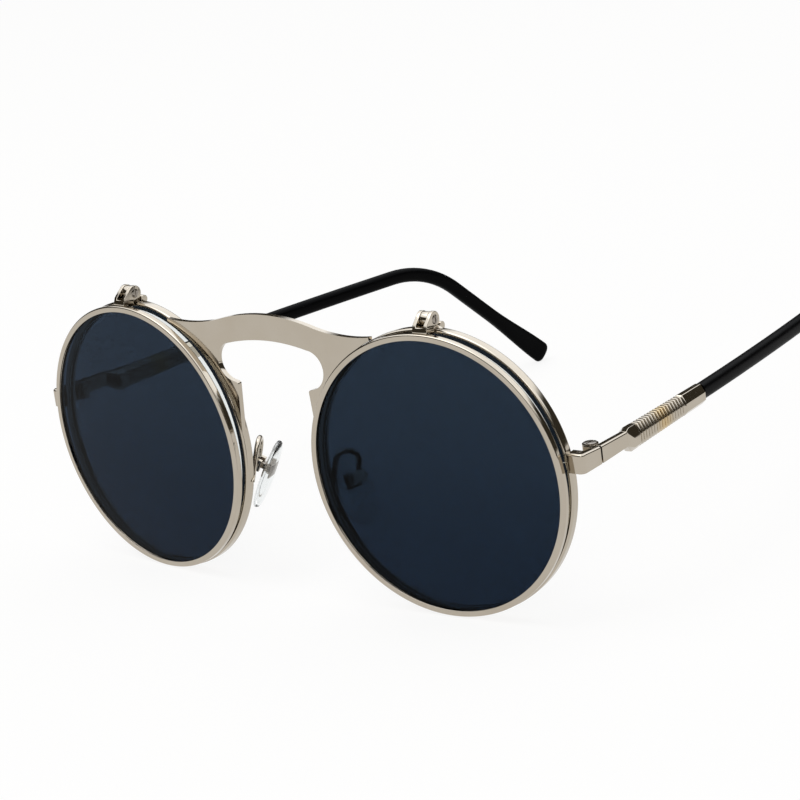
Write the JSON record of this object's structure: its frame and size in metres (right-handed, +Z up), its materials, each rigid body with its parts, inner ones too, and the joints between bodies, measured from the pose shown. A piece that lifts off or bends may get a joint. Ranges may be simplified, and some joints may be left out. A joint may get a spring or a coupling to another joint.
{
  "type": "flip up sunglasses",
  "caption": "Round metal sunglasses with dark lenses that flip up from a frame with clear lenses, a keyhole bridge, ribbed folding temples and rocking nose pads.",
  "frame": {"origin": "centre of the bottom of the bounding box, on the surface that the rims and the temple tips stand on", "axes": "+X towards the wearer's left, +Y towards the back of the head, +Z up"},
  "size_m": [0.1264, 0.1396, 0.0545],
  "materials": {
    "polished_metal": "polished nickel silver",
    "steel": "bright steel",
    "dark_lens": "smoke blue, polished",
    "clear_lens": "clear, polished",
    "black_sleeve": "satin black",
    "clear_pad": "clear soft plastic"
  },
  "bodies": {
    "frame": {"bridge_plate": "polished_metal", "rim_left": "polished_metal", "rim_right": "polished_metal", "endpiece_left": "polished_metal", "endpiece_right": "polished_metal", "rim_lock_upper_left": "polished_metal", "rim_lock_upper_right": "polished_metal", "rim_lock_lower_left": "polished_metal", "rim_lock_lower_right": "polished_metal", "flip_hinge_base_left": "polished_metal", "flip_hinge_base_right": "polished_metal", "pad_arm_left": "polished_metal", "pad_arm_right": "polished_metal", "pad_box_left": "polished_metal", "pad_box_right": "polished_metal", "clear_lens_left": "clear_lens", "clear_lens_right": "clear_lens", "rim_lock_screw_left": "steel", "rim_lock_screw_right": "steel", "temple_hinge_screw_left": "steel", "temple_hinge_screw_right": "steel", "pad_screw_left": "steel", "pad_screw_right": "steel"},
    "flip_left": {"flip_rim_left": "polished_metal", "flip_lens_left": "dark_lens", "flip_clevis_left": "polished_metal", "flip_hinge_screw_left": "steel"},
    "temple_left": {"temple_bar_left": "polished_metal", "temple_ribbed_bar_left": "polished_metal", "temple_core_wire_left": "steel", "temple_tip_left": "black_sleeve"},
    "pad_left": {"nose_pad_left": "clear_pad", "nose_pad_core_left": "steel"},
    "flip_right": {"flip_rim_right": "polished_metal", "flip_lens_right": "dark_lens", "flip_clevis_right": "polished_metal", "flip_hinge_screw_right": "steel"},
    "temple_right": {"temple_bar_right": "polished_metal", "temple_ribbed_bar_right": "polished_metal", "temple_core_wire_right": "steel", "temple_tip_right": "black_sleeve"},
    "pad_right": {"nose_pad_right": "clear_pad", "nose_pad_core_right": "steel"}
  },
  "joints": [
    {"name": "flip_left_hinge", "type": "hinge", "parent": "frame", "child": "flip_left", "pos_m": [0.03532, -0.0645, 0.0531], "axis": [-0.9952, -0.0976, 0], "range_deg": [0, 95]},
    {"name": "flip_right_hinge", "type": "hinge", "parent": "frame", "child": "flip_right", "pos_m": [-0.03532, -0.0645, 0.0531], "axis": [-0.9952, 0.0976, 0], "range_deg": [0, 95]},
    {"name": "temple_left_hinge", "type": "hinge", "parent": "frame", "child": "temple_left", "pos_m": [0.06049, -0.05672, 0.02975], "axis": [0, 0, 1], "range_deg": [0, 82]},
    {"name": "temple_right_hinge", "type": "hinge", "parent": "frame", "child": "temple_right", "pos_m": [-0.06049, -0.05672, 0.02975], "axis": [0, 0, -1], "range_deg": [0, 74]},
    {"name": "pad_left_rock", "type": "hinge", "parent": "frame", "child": "pad_left", "pos_m": [0.01216, -0.06112, 0.02145], "axis": [0.342, 0.9397, 0], "range_deg": [-8, 8]},
    {"name": "pad_right_rock", "type": "hinge", "parent": "frame", "child": "pad_right", "pos_m": [-0.01216, -0.06112, 0.02145], "axis": [-0.342, 0.9397, 0], "range_deg": [-8, 8]}
  ]
}
